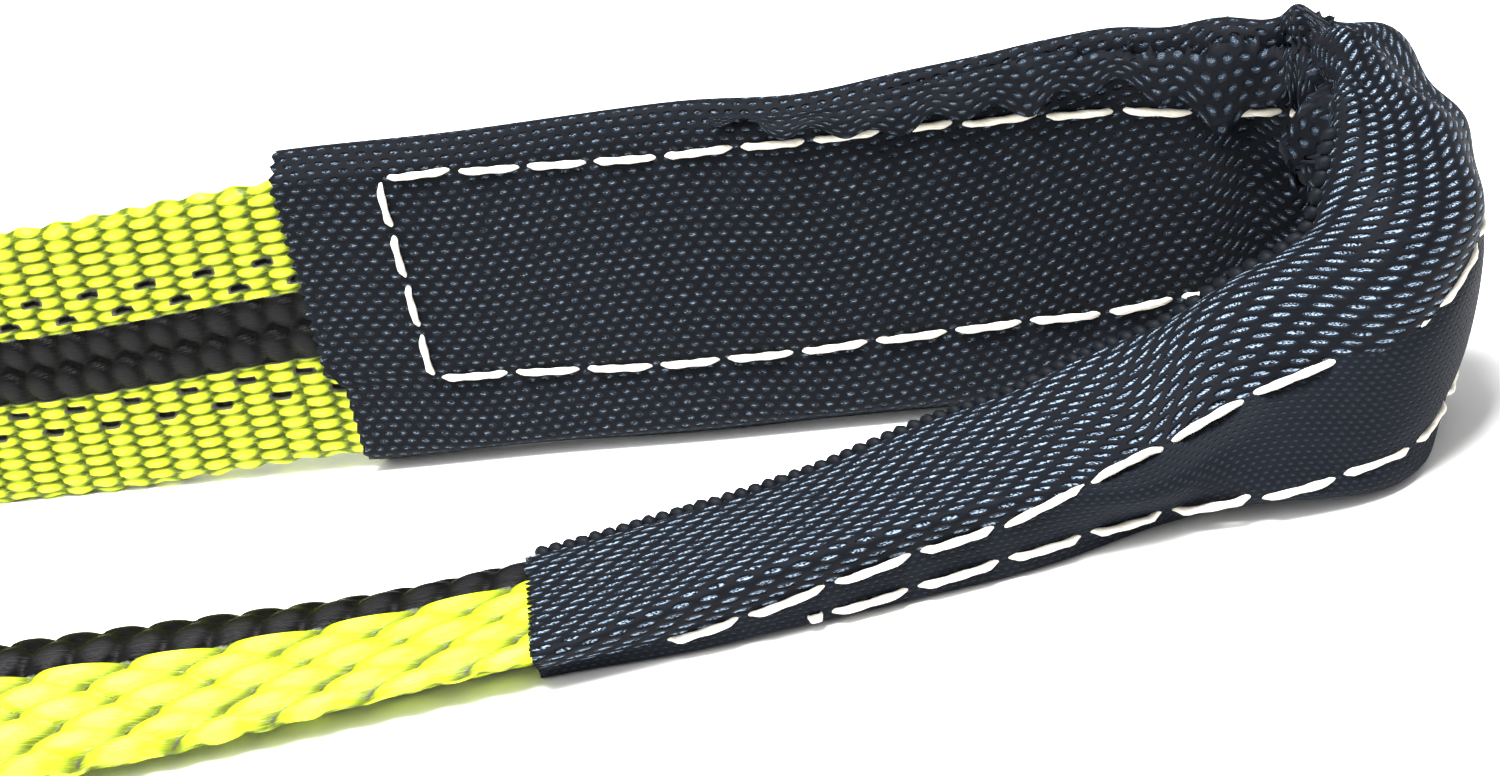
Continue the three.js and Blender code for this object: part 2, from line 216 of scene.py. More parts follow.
def weave(s, u, outer):
    """Height of the yarns, their tone (0 yellow, 1 black, 0.5 weft) and their painted light: how much
    each is lit where it lies.
    """
    if outer:
        f, tip = leaves(s, u, LEAF_PITCH, LEAF_ROW, LEAF_HALF, LEAF_SLANT)
        height = np.sqrt(f) + 0.7 * tip
        gap = smooth(f, 0.22, 0.06)
        pitch = OUTER_STRAND_PITCH
    else:
        column = np.floor(s / RIB_PITCH)
        dx = s / RIB_PITCH - column - 0.5
        dy = (u / RIB_HEIGHT + 0.5 * (column % 2)) % 1.0 - 0.5
        f = np.clip(1 - (2 * dx) ** 2 * 0.85 - (2 * dy) ** 2 * 0.9, 0, 1)
        height = 0.6 * np.sqrt(f)
        gap = smooth(f, 0.05, 0.0) * 0.35
        pitch = INNER_STRAND_PITCH
    tone = 0.5 * gap
    side = np.where(u > 0, 0.5, 0.0)
    dy = np.abs(u) - STRAND_PLACE
    dx = (s / pitch + side + 0.1 * dy * np.sign(u)) % 1 - 0.5
    bump = np.clip(1 - (2 * dx) ** 2 * 0.75 - (dy / 1.62) ** 2, 0, 1)
    stripe = np.abs(u) < STRIPE
    height = np.where(stripe, 0.15 + 0.75 * np.sqrt(bump), height)
    tone = np.where(stripe, 1.0, tone)
    # Painted light: dark in the gaps between yarns, full on the raised yarns, and a little lighter
    # towards one end of each leaf.
    shade = np.where(stripe, bump, np.clip(f * (1 + 0.9 * tip), 0, 1) if outer else f)
    if outer:
        return height, tone, shade
    for row, shift in FLECKS:
        dx = (s + shift) % FLECK_PITCH - FLECK_PITCH / 2
        fleck = smooth(np.abs(dx), 1.25, 0.8) * smooth(np.abs(u - row), 0.42, 0.2)
        tone = np.maximum(tone, fleck)
        height = height - 0.25 * fleck
    return height, tone, shade


def web_piece(name, start, end, step, faces, full=1.0):
    """A length of the woven web, open at its ends, where the next length goes on."""
    count = max(2, int(round((end - start) / step)) + 1)
    distances = np.linspace(start, end, count)
    u_out = np.linspace(-HALF_WEB, HALF_WEB, faces)
    ring_u = np.concatenate([u_out, u_out[::-1]])
    outer = np.concatenate([np.ones(faces, bool), np.zeros(faces, bool)])
    points, tones, shades, uvs = [], [], [], []
    for distance in distances:
        signed, plan, normal = on_plan(distance)
        at, out = section(signed)
        offset = aside(distance)
        s = np.full(faces, distance)
        height_o, tone_o, shade_o = weave(s, u_out, True)
        height_i, tone_i, shade_i = weave(s, u_out, False)
        height = np.concatenate([height_o, height_i[::-1]])
        tone = np.concatenate([tone_o, tone_i[::-1]])
        shade = np.concatenate([shade_o, shade_i[::-1]])
        edge = np.clip((np.abs(ring_u) - EDGE_START) / EDGE_ROUNDING, 0, 1)
        body = (WEB_THICKNESS / 2 - 0.45) * np.sqrt(np.clip(1 - edge ** 2, 0.0, 1)) + 0.05
        depth = (body + height * (1 - 0.75 * edge)) * full
        depth = np.where(outer, depth, -depth)
        wobble = 0.16 * np.sin(distance * 2 * math.pi / EDGE_LOOP_PITCH + np.sign(ring_u)) * edge
        px = np.interp(ring_u, ACROSS, at[:, 0])
        pz = np.interp(ring_u, ACROSS, at[:, 1])
        nx = np.interp(ring_u, ACROSS, out[:, 0])
        nz = np.interp(ring_u, ACROSS, out[:, 1])
        along = np.stack([-nz, nx], 1) * (wobble * np.sign(ring_u))[:, None]
        x = px + nx * depth + offset + along[:, 0] + set_out(signed)
        z = np.maximum(pz + nz * depth + along[:, 1], FLOOR_GAP) * squeeze(signed)
        points.append(np.stack([plan[0] + normal[0] * x, plan[1] + normal[1] * x, z], 1))
        tones.append(tone)
        shades.append(shade)
        uvs.append(np.stack([np.full(2 * faces, distance), ring_u], 1))
    points = np.concatenate(points)
    quads = [q[::-1] for q in grid_quads(count, 2 * faces)]
    obj = make_mesh(name, points, quads, np.concatenate(uvs) * 0.1,
                    {"tone": np.concatenate(tones), "shade": np.concatenate(shades)}, web_look)
    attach(obj, "root")
    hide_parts("web_strap")
    return obj


def group(name, inputs, outputs, build):
    """A shader node group with named inputs and outputs."""
    tree = bpy.data.node_groups.new(name, "ShaderNodeTree")
    for key, kind, value in inputs:
        socket = tree.interface.new_socket(name=key, in_out="INPUT", socket_type=kind)
        if value is not None:
            socket.default_value = value
    for key, kind in outputs:
        tree.interface.new_socket(name=key, in_out="OUTPUT", socket_type=kind)
    build(tree, tree.nodes.new("NodeGroupInput"), tree.nodes.new("NodeGroupOutput"))
    return tree


def math_node(tree, operation, a, b=None, c=None):
    node = tree.nodes.new("ShaderNodeMath")
    node.operation = operation
    for index, value in enumerate((a, b, c)):
        if value is None:
            continue
        if isinstance(value, (int, float)):
            node.inputs[index].default_value = value
        else:
            tree.links.new(value, node.inputs[index])
    return node.outputs[0]


def ramp(tree, value, low, high):
    """0 at low, 1 at high."""
    node = tree.nodes.new("ShaderNodeMapRange")
    node.interpolation_type = "SMOOTHSTEP"
    tree.links.new(value, node.inputs["Value"])
    node.inputs["From Min"].default_value = low
    node.inputs["From Max"].default_value = high
    return node.outputs["Result"]


def mix(tree, factor, a, b):
    node = tree.nodes.new("ShaderNodeMix")
    node.data_type = "RGBA"
    for socket, value in ((node.inputs[0], factor), (node.inputs[6], a), (node.inputs[7], b)):
        if isinstance(value, (tuple, float)):
            socket.default_value = value
        else:
            tree.links.new(value, socket)
    return node.outputs[2]


def build_plain_weave(tree, source, sink):
    """Yarns that pass over and under: dashes in rows, each row shifted."""
    split = tree.nodes.new("ShaderNodeSeparateXYZ")
    tree.links.new(source.outputs["Place"], split.inputs[0])
    y = math_node(tree, "DIVIDE", split.outputs["Y"], source.outputs["Row"])
    row = math_node(tree, "FLOOR", y)
    shifted = math_node(tree, "MULTIPLY", row, source.outputs["Shift"])
    steps = math_node(tree, "DIVIDE", split.outputs["X"], source.outputs["Pitch"])
    x = math_node(tree, "ADD", steps, shifted)
    fx = math_node(tree, "ABSOLUTE", math_node(tree, "SUBTRACT", math_node(tree, "FRACT", x), 0.5))
    fy = math_node(tree, "ABSOLUTE", math_node(tree, "SUBTRACT", math_node(tree, "FRACT", y), 0.5))
    along = math_node(tree, "DIVIDE", fx, source.outputs["Length"])
    up = math_node(tree, "DIVIDE", fy, source.outputs["Width"])
    reach = math_node(tree, "ADD", math_node(tree, "POWER", along, 2.0),
                      math_node(tree, "POWER", up, 2.0))
    tree.links.new(ramp(tree, reach, 1.25, 0.55), sink.inputs["Mask"])
    dome = math_node(tree, "SUBTRACT", 1.0, math_node(tree, "MINIMUM", reach, 1.0))
    tree.links.new(dome, sink.inputs["Height"])


NUMBER, VECTOR = "NodeSocketFloat", "NodeSocketVector"
yarn_rows = group("Yarn rows",
                  [("Place", VECTOR, None), ("Pitch", NUMBER, 2.0), ("Row", NUMBER, 0.65),
                   ("Shift", NUMBER, 0.34), ("Length", NUMBER, 0.3), ("Width", NUMBER, 0.4)],
                  [("Mask", NUMBER), ("Height", NUMBER)], build_plain_weave)


def material(name):
    """A new material with its node tree and its Principled shader."""
    made = bpy.data.materials.new(name)
    made.use_nodes = True
    tree = made.node_tree
    return made, tree, tree.nodes["Principled BSDF"]


def attribute(tree, name):
    node = tree.nodes.new("ShaderNodeAttribute")
    node.attribute_name = name
    return node.outputs["Fac"]


def noise(tree, scale, detail=3.0, vector=None):
    node = tree.nodes.new("ShaderNodeTexNoise")
    node.inputs["Scale"].default_value = scale
    node.inputs["Detail"].default_value = detail
    if vector is not None:
        tree.links.new(vector, node.inputs["Vector"])
    return node.outputs["Fac"]


def stretched(tree, x, y):
    """Place on the fabric in millimetres, drawn out along the yarns."""
    uv = tree.nodes.new("ShaderNodeUVMap")
    uv.uv_map = "place"
    scale = tree.nodes.new("ShaderNodeVectorMath")
    scale.operation = "MULTIPLY"
    tree.links.new(uv.outputs[0], scale.inputs[0])
    scale.inputs[1].default_value = (x, y, 1)
    return scale.outputs[0]


def bump(tree, height, distance, strength):
    node = tree.nodes.new("ShaderNodeBump")
    node.inputs["Strength"].default_value = strength
    node.inputs["Distance"].default_value = distance
    tree.links.new(height, node.inputs["Height"])
    return node.outputs["Normal"]


def web_material():
    """Neon yarns with painted shade at their roots and in the gaps, painted highlights on their crowns
    and in streaks along the fibres, grey weft in the gaps and the black stripe with painted highlights
    on its strands.
    """
    made, tree, shader = material("neon web")
    tone, shade = attribute(tree, "tone"), attribute(tree, "shade")
    fibre = noise(tree, 1.0, 2.0, stretched(tree, 6.0, 90.0))
    # Painted shade: yarns dark at their roots and in the gaps, full yellow on their crowns.
    base = mix(tree, ramp(tree, shade, 0.02, 0.85), (0.055, 0.08, 0.0, 1), (0.50, 0.62, 0.010, 1))
    # Painted highlight on the crowns of the yarns.
    painted_crown_highlight = math_node(tree, "MULTIPLY", ramp(tree, shade, 0.75, 1.0), 0.6)
    base = mix(tree, painted_crown_highlight, base, (0.66, 0.78, 0.07, 1))
    # Painted glint in pale streaks along the fibres.
    painted_fibre_glint = math_node(tree, "MULTIPLY", ramp(tree, fibre, 0.52, 0.75), 0.25)
    base = mix(tree, painted_fibre_glint, base, (0.70, 0.80, 0.12, 1))
    weft = mix(tree, ramp(tree, tone, 0.12, 0.45), base, (0.05, 0.052, 0.03, 1))
    # The black stripe, with painted highlight on the crowns of its strands.
    black = mix(tree, ramp(tree, shade, 0.5, 1.0), (0.001, 0.001, 0.001, 1), (0.008, 0.008, 0.009, 1))
    colour = mix(tree, ramp(tree, tone, 0.6, 0.9), weft, black)
    tree.links.new(colour, shader.inputs["Base Color"])
    shader.inputs["Roughness"].default_value = 0.42
    glint = math_node(tree, "MULTIPLY_ADD", ramp(tree, tone, 0.6, 0.9), -0.13, 0.2)
    tree.links.new(glint, shader.inputs["Specular IOR Level"])
    tree.links.new(bump(tree, fibre, 0.00012, 0.6), shader.inputs["Normal"])
    return made


def sleeve_material():
    """Coarse twill with painted highlight dashes over most of the sleeve, a dotted weave with dimmer
    painted highlights on the inward faces and the rear leg, and a fine smooth weave on the strip
    between the seams, darkened with painted shade where the cloth turns down.
    """
    made, tree, shader = material("black sleeve")
    place = stretched(tree, 10.0, 10.0)

    def rows(pitch, row, shift, length, width):
        node = tree.nodes.new("ShaderNodeGroup")
        node.node_tree = yarn_rows
        tree.links.new(place, node.inputs["Place"])
        for key, value in (("Pitch", pitch), ("Row", row), ("Shift", shift), ("Length", length),
                           ("Width", width)):
            node.inputs[key].default_value = value
        return node.outputs["Mask"], node.outputs["Height"]

    coarse, coarse_height = rows(2.0, 0.66, 0.34, 0.38, 0.44)
    highlight_dash_mask, _ = rows(2.0, 0.66, 0.34, 0.3, 0.2)
    dots, dots_height = rows(1.25, 0.72, 0.5, 0.34, 0.36)
    dotted_highlight_dashes, _ = rows(1.25, 0.72, 0.5, 0.26, 0.15)
    fine, fine_height = rows(0.7, 0.4, 0.5, 0.3, 0.3)
    broad, medium = noise(tree, 60.0, 2.0), noise(tree, 400.0, 3.0)
    outside, shaded_seam_band = attribute(tree, "outside"), attribute(tree, "shaded_seam_band")
    # Painted light: the lit colour on the raised floats, and pale blue-grey dashes as painted
    # highlights where yarns catch the light.
    dark, lit, painted_highlight = (0.0008, 0.0014, 0.003, 1), (0.010, 0.015, 0.025, 1), (0.24, 0.32, 0.42, 1)
    vary = math_node(tree, "MULTIPLY", ramp(tree, medium, 0.35, 0.65), 0.85)
    twill = mix(tree, math_node(tree, "MULTIPLY", coarse, vary), dark, lit)
    twill = mix(tree, math_node(tree, "MULTIPLY", highlight_dash_mask, ramp(tree, medium, 0.44, 0.58)), twill, painted_highlight)
    dotted = mix(tree, math_node(tree, "MULTIPLY", dots, vary), dark, (0.014, 0.020, 0.031, 1))
    # Painted highlight dashes on the dotted weave.
    painted_dash_highlight = math_node(tree, "MULTIPLY", dotted_highlight_dashes, ramp(tree, medium, 0.47, 0.62))
    dotted = mix(tree, painted_dash_highlight, dotted, (0.13, 0.18, 0.24, 1))
    # The strip between the seams faces down: its darker colour is painted shade.
    shaded_band_colour = mix(tree, fine, (0.002, 0.003, 0.0055, 1), (0.011, 0.016, 0.025, 1))
    # Faces turned out, from the bend on, take the twill; faces turned inward and the rear leg take the
    # dotted weave, whose dimmer look inside the bend is partly painted shade.
    colour = mix(tree, outside, dotted, twill)
    colour = mix(tree, shaded_seam_band, colour, shaded_band_colour)
    wear = math_node(tree, "MULTIPLY", ramp(tree, broad, 0.5, 0.75), 0.2)
    colour = mix(tree, wear, colour, (0.007, 0.010, 0.017, 1))
    tree.links.new(colour, shader.inputs["Base Color"])
    shader.inputs["Roughness"].default_value = 0.7
    shader.inputs["Specular IOR Level"].default_value = 0.09
    shader.inputs["Sheen Weight"].default_value = 0.02
    shader.inputs["Sheen Tint"].default_value = (0.6, 0.7, 0.85, 1)
    height = mix(tree, outside, dots_height, coarse_height)
    height = mix(tree, shaded_seam_band, height, fine_height)
    tree.links.new(bump(tree, height, 0.00045, 0.9), shader.inputs["Normal"])
    return made


def thread_material():
    """Ivory thread, with painted shade in the grooves of its twist."""
    made, tree, shader = material("white thread")
    # Painted shade: streaks that follow the twist darken the thread between its strands.
    ply_groove_shade = noise(tree, 1.0, 2.0, stretched(tree, 4.0, 40.0))
    colour = mix(tree, ramp(tree, ply_groove_shade, 0.35, 0.7), (0.50, 0.46, 0.38, 1), (0.84, 0.80, 0.70, 1))
    tree.links.new(colour, shader.inputs["Base Color"])
    shader.inputs["Roughness"].default_value = 0.65
    shader.inputs["Sheen Weight"].default_value = 0.2
    return made


def selvage_material():
    """Dark woven edge with a few specks of painted sheen."""
    made, tree, shader = material("sleeve selvage")
    # Painted sheen: random specks of a less dark blue-grey.
    painted_sheen = ramp(tree, noise(tree, 900.0), 0.45, 0.7)
    colour = mix(tree, painted_sheen, (0.001, 0.0015, 0.0025, 1), (0.010, 0.013, 0.019, 1))
    tree.links.new(colour, shader.inputs["Base Color"])
    shader.inputs["Roughness"].default_value = 0.6
    shader.inputs["Specular IOR Level"].default_value = 0.1
    return made


web_look = web_material()
sleeve_look = sleeve_material()
thread_look = thread_material()
selvage_look = selvage_material()


START_SLANT = 0.6


def hull(points):
    """Tight line round the points, from its lower outer corner."""
    ordered = sorted(map(tuple, points))

    def chain(rows):
        made = []
        for p in rows:
            while len(made) > 1:
                a, b = made[-2], made[-1]
                if (b[0] - a[0]) * (p[1] - a[1]) - (b[1] - a[1]) * (p[0] - a[0]) > 0:
                    break
                made.pop()
            made.append(p)
        return made[:-1]
    ring = np.array(chain(ordered) + chain(ordered[::-1]))
    first = int(np.argmax(START_SLANT * ring[:, 0] - ring[:, 1]))
    return np.roll(ring, -first, axis=0)


# Points round the sleeve, how far it is evened out lengthwise, and a circle for its stand-off.
ROUND, SETTLE_SPREAD = 210, 6.0
TURNS = np.linspace(0, 2 * math.pi, 16, endpoint=False)
CIRCLE = np.stack([np.cos(TURNS), np.sin(TURNS)], 1)


def sleeve_ring(signed, offset):
    """Outline of the sleeve round the folded web, as evenly spaced points."""
    at, out = section(signed)
    web = np.concatenate([at + out * WEB_THICKNESS / 2, at - out * WEB_THICKNESS / 2])[::5]
    lowest = web[web[:, 1].argmin()]
    reach, top = table(LOOSE_TOP, signed)
    loose = [reach - WEB_THICKNESS / 2, SLEEVE_LIFT + top - SLEEVE_WALL - SLEEVE_CLEARANCE]
    held = np.concatenate([web, [lowest - [0, SLEEVE_SLACK]], [loose]])
    ring = hull((held[:, None, :] + CIRCLE[None] * offset).reshape(-1, 2))
    closed = np.concatenate([ring, ring[:1]])
    length = np.concatenate([[0], np.cumsum(np.linalg.norm(np.diff(closed, axis=0), axis=1))])
    want = np.linspace(0, length[-1], ROUND, endpoint=False)
    return np.stack([np.interp(want, length, closed[:, i]) for i in (0, 1)], 1)


def settle(rings, spread):
    """The rows of rings evened out along the sleeve, as cloth under tension lies."""
    reach = int(3 * spread)
    weights = np.exp(-0.5 * (np.arange(-reach, reach + 1) / spread) ** 2)
    padded = np.concatenate([rings[:1]] * reach + [rings] + [rings[-1:]] * reach)
    return sum(w * padded[i:i + len(rings)] for i, w in enumerate(weights)) / weights.sum()


PLACES = np.linspace(-SLEEVE_REAR, SLEEVE_FRONT, 345)
SPACING = PLACES[1] - PLACES[0]


def rings_at(offset):
    """Rings of the sleeve at this distance from the web."""
    return settle(np.array([sleeve_ring(p, offset) for p in PLACES]), SETTLE_SPREAD)


def facing_of(ring):
    """The way each point of a ring faces."""
    edge = np.roll(ring, -1, 0) - np.roll(ring, 1, 0)
    out = np.stack([edge[:, 1], -edge[:, 0]], 1)
    return out / (np.linalg.norm(out, axis=1)[:, None] + 1e-9)


def loosen(rings):
    """Slack waves, puckers inside the bend and the dips that the seams pull."""
    waves = rng.normal(size=(6, 5))
    made = []
    for place, ring in zip(PLACES, rings):
        facing = facing_of(ring)
        t = np.arange(ROUND) * 0.3
        rise = np.full(ROUND, -0.1)
        for a, b, c, d, e in waves:
            wave = np.sin(place * (0.12 + 0.1 * abs(a)) + t * 0.13 * b + 3 * c)
            rise += 0.08 * wave * np.sin(d + place * 0.05 * e)
        bend = math.exp(-((place + 9) / 12) ** 2) * smooth(ring[:, 1], 14, 23)
        rise += 0.75 * bend * np.sin(place * 0.75 + ring[:, 1] * 0.55)
        rise += 0.5 * bend * np.sin(place * 0.42 - ring[:, 1] * 0.8 + 1)
        inner = facing[:, 0] < -0.5
        outer = facing[:, 0] > 0.1
        for rows, face in ((INNER_TOP, inner), (INNER_LOW, inner), (SEAM_UPPER, outer),
                           (SEAM_LOWER, outer)):
            if face is inner and not rows[0][0] + 1 < place < rows[-1][0]:
                continue
            rise -= 0.28 * face * np.exp(-((ring[:, 1] - table(rows, place)[0]) / 1.1) ** 2)
        moved = ring + facing * rise[:, None]
        moved[:, 1] = np.maximum(moved[:, 1], FLOOR_GAP) * squeeze(place)
        moved[:, 0] += set_out(place)
        made.append(moved)
    return np.array(made)


# Place along the web and height of each seam, and of the loose top edge.
SEAM_UPPER = [(-40, 24.5), (-20, 22), (-8, 19), (3, 15.4), (14, 11.2), (30, 6.6), (45, 4.4), (75, 1.9)]
SEAM_LOWER = [(-40, 5.5), (-12, 5.2), (0, 4.4), (12, 3.0), (30, 2.1), (60, 1.3)]
INNER_TOP = [(-90, 26.0), (-60, 25.0), (-30, 24.6), (-14, 23.6)]
INNER_LOW = [(-90, 8.0), (-60, 7.2), (-35, 8.0), (-14, 10.5)]
FLAP_EDGE = [(-60, 27.8), (-52, 25.9), (-46, 25.2), (-40, 26.0), (-35, 25.6), (-31, 26.8), (-27, 27.2),
             (-24, 25.6), (-21, 23.4), (-18, 24.2), (-15, 26.4), (-12, 25.0), (-9, 21.5), (-6, 20.0),
             (-3, 21.5), (0, 23.5), (3, 21.0), (6, 19.5), (10, 21.0)]
OUTER_RINGS = loosen(rings_at(SLEEVE_CLEARANCE + SLEEVE_WALL))


def in_space(place, ring):
    """A ring of (outward, height) points in space. The upper cloth reaches a little further at both
    ends, and both cut edges are uneven."""
    _, plan, normal = on_plan(place)
    ahead = np.array([normal[1], -normal[0]])
    shift = -1.5 * smooth(ring[:, 1], 8.3, 9.6) * (1 - smooth(place, -SLEEVE_REAR, -SLEEVE_REAR + 12))
    shift += 2.0 * smooth(ring[:, 1], 3, 11) * smooth(place, SLEEVE_FRONT - 10, SLEEVE_FRONT)
    at_end = max(smooth(place, SLEEVE_FRONT - 2, SLEEVE_FRONT),
                 1 - smooth(place, -SLEEVE_REAR, -SLEEVE_REAR + 2))
    shift += 0.28 * at_end * np.sin(np.arange(len(ring)) * 1.7)
    x = plan[0] + normal[0] * ring[:, 0] + ahead[0] * shift
    y = plan[1] + normal[1] * ring[:, 0] + ahead[1] * shift
    return np.stack([x, y, ring[:, 1]], 1)


def sleeve_piece():
    """The sleeve: its outer skin, and a coarser inner skin that closes it at both ends."""
    outer, uvs, outside, shaded_seam_band = [], [], [], []
    for place, ring in zip(PLACES, OUTER_RINGS):
        facing = facing_of(ring)
        outer.append(in_space(place, ring))
        length = np.concatenate([[0], np.cumsum(np.linalg.norm(np.diff(ring, axis=0), axis=1))])
        uvs.append(np.stack([np.full(ROUND, place), length], 1))
        upper = table(SEAM_UPPER, place)[0] * squeeze(place)
        # Faces turned out from the bend on; the rest get the dimmer dotted look, partly painted shade
        # inside the bend.
        outside.append(np.where(facing[:, 0] > -0.25, 1.0, 0.0) * smooth(place, -14, -4))
        # Strip below the upper seam on the outward face, where the cloth turns down: it gets painted
        # shade.
        shaded_seam_band.append(np.where((facing[:, 0] > 0.1) & (ring[:, 1] < upper), 1.0, 0.0))
    inner_rings = rings_at(SLEEVE_CLEARANCE)
    last = len(PLACES)
    pick = list(range(5)) + list(range(12, last - 12, 12)) + list(range(last - 5, last))
    inner = []
    for i in pick:
        at = len(PLACES) - 1 - i
        ring = inner_rings[at] * [1, squeeze(PLACES[at])] + [set_out(PLACES[at]), 0]
        inner.append(in_space(PLACES[at], ring))
    rings = outer + inner
    uv = uvs + [uvs[len(PLACES) - 1 - i] for i in pick]
    zeros = [np.zeros(ROUND)] * len(pick)
    quads = [q[::-1] for q in grid_quads(len(rings), ROUND, close=True)]
    layers = {"outside": np.concatenate(outside + zeros), "shaded_seam_band": np.concatenate(shaded_seam_band + zeros)}
    obj = make_mesh("wear_sleeve_cloth", np.concatenate(rings), quads, np.concatenate(uv) * 0.1, layers,
                    sleeve_look)
    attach(obj, "root")
    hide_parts("wear_sleeve")
    return obj


def ring_near(place):
    """Outer ring of the sleeve at any place along it."""
    at = np.clip((place - PLACES[0]) / SPACING, 0, len(PLACES) - 1.001)
    i = int(at)
    return OUTER_RINGS[i] * (1 - at + i) + OUTER_RINGS[i + 1] * (at - i)


STITCH_PITCH, STITCH_GAP, STITCH_RISE = 6.2, 0.45, 0.3
THREAD_RADIUS, LAP_THREAD_RADIUS = 0.29, 0.4
THREAD_SIDES, THREAD_RINGS = 10, 15
# Where the rows start on the rear leg, and the place of the short row across.
OUTER_START, INNER_START, ROW_ACROSS = -88.0, -88.5, -89.0


def seat(place, height, side, rise):
    """Point on the sleeve at a height on its outer (1) or inner (-1) face, and the way it faces."""
    ring = ring_near(place)
    height = np.clip(height * squeeze(place), ring[:, 1].min() + 0.05, ring[:, 1].max() - 0.05)
    following = np.roll(ring, -1, 0)
    crossing = np.where((ring[:, 1] - height) * (following[:, 1] - height) <= 0)[0]
    best = max(crossing, key=lambda i: side * ring[i, 0])
    edge = following[best] - ring[best]
    facing = np.array([edge[1], -edge[0]]) / (np.linalg.norm(edge) + 1e-9)
    at = ring[best] + facing * rise
    _, plan, normal = on_plan(place)
    here = np.array([*(plan + normal * at[0]), at[1]])
    return here, np.array([*(normal * facing[0]), facing[1]])


def thread_run(a, b, facing, radius, dip=0.5):
    """One stitch from a to b: a twisted two-ply rod whose ends dive into the cloth."""
    points, uv = [], []
    ahead = b - a
    length = np.linalg.norm(ahead)
    ahead = ahead / length
    across = np.cross(ahead, facing)
    across /= np.linalg.norm(across)
    away = np.cross(across, ahead)
    phase = rng.uniform(0, 6)
    for i in range(THREAD_RINGS):
        t = i / (THREAD_RINGS - 1)
        end = abs(2 * t - 1)
        thick = radius * (1 - 0.55 * smooth(end, 0.75, 1.0))
        centre = a + ahead * length * t - away * dip * smooth(end, 0.6, 1.0)
        for k in range(THREAD_SIDES):
            angle = 2 * math.pi * k / THREAD_SIDES
            swell = 1 + 0.13 * math.cos(2 * (angle - phase - t * length * 1.5))
            points.append(centre + (away * math.cos(angle) + across * math.sin(angle)) * thick * swell)
            uv.append((t * length, angle - t * length * 1.3))
    return np.array(points), grid_quads(THREAD_RINGS, THREAD_SIDES), np.array(uv)


def thread_piece(name, runs, node, radius=THREAD_RADIUS):
    """All stitches of a seam as one mesh."""
    points, quads, uvs = [], [], []
    for a, b, facing in runs:
        p, q, uv = thread_run(a, b, facing, radius)
        base = sum(len(x) for x in points)
        points.append(p)
        uvs.append(uv)
        quads.extend(tuple(base + i for i in face)[::-1] for face in q)
        quads.append(tuple(base + i for i in range(THREAD_SIDES)))
        quads.append(tuple(base + len(p) - 1 - i for i in range(THREAD_SIDES)))
    obj = make_mesh(name, np.concatenate(points), quads, np.concatenate(uvs) * 0.1, None, thread_look)
    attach(obj, "root")
    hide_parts(node)
    return obj


def seam_runs(rows, start, end, side):
    """Stitches one after another along a seam, each a little longer or shorter."""
    runs = []
    place = start
    while place < end - 1:
        length = STITCH_PITCH * rng.uniform(0.92, 1.08)
        a, fa = seat(place, table(rows, place)[0], side, STITCH_RISE)
        stop = min(place + length - STITCH_GAP, end)
        b, fb = seat(stop, table(rows, stop)[0], side, STITCH_RISE)
        runs.append((a, b, (fa + fb) / 2))
        place += length
    return runs


def inner_seam():
    """Two rows along the rear leg, joined by a short row across."""
    runs = seam_runs(INNER_TOP, INNER_START, -13, -1) + seam_runs(INNER_LOW, INNER_START, -18, -1)
    heights = np.linspace(INNER_LOW[0][1], INNER_TOP[0][1], 5)
    for low, high in zip(heights, heights[1:]):
        a, fa = seat(ROW_ACROSS, low + 0.3, -1, STITCH_RISE)
        b, fb = seat(ROW_ACROSS, high - 0.3, -1, STITCH_RISE)
        runs.append((a, b, (fa + fb) / 2))
    return thread_piece("seam_inner_thread", runs, "sleeve_seam_inner")


def outer_seam():
    """Two rows that run from the rear leg round the bend to the front leg."""
    runs = seam_runs(SEAM_UPPER, OUTER_START, 66, 1) + seam_runs(SEAM_LOWER, OUTER_START, 56, 1)
    return thread_piece("seam_outer_thread", runs, "sleeve_seam_outer")


LAP_SEAM_RISE = {1: 1.95, -1: 1.3}
LAP_STITCH_PITCH, LAP_STITCH_LENGTH, LAP_MARGIN = 5.2, 4.4, 4


def lap_seams():
    """Four rows of stitches through both layers of the lap, on each face."""
    start = -LAP_PLACE - LAP_LENGTH / 2
    shift = (WEB_THICKNESS + LAYER_GAP) / 2
    for side, node in ((1, "lap_seam_outer"), (-1, "lap_seam_inner")):
        reach = side * (shift + LAP_SEAM_RISE[side])
        runs = []

        def spot(distance, height):
            _, plan, normal = on_plan(distance)
            return np.array([*(plan + normal * reach), height]), np.array([*(normal * side), 0.0])

        for height in np.linspace(LAP_MARGIN, WEB_WIDTH - LAP_MARGIN, 4):
            for place in np.arange(start + LAP_MARGIN, start + LAP_LENGTH - 2 * LAP_MARGIN,
                                   LAP_STITCH_PITCH):
                a, facing = spot(place, height)
                b, _ = spot(place + LAP_STITCH_LENGTH, height)
                runs.append((a, b, facing))
        thread_piece(f"{node}_thread", runs, node, radius=LAP_THREAD_RADIUS)


SELVAGE_START, SELVAGE_PITCH, SELVAGE_LENGTH, SELVAGE_RADIUS = 9.0, 1.02, 0.95, 0.72


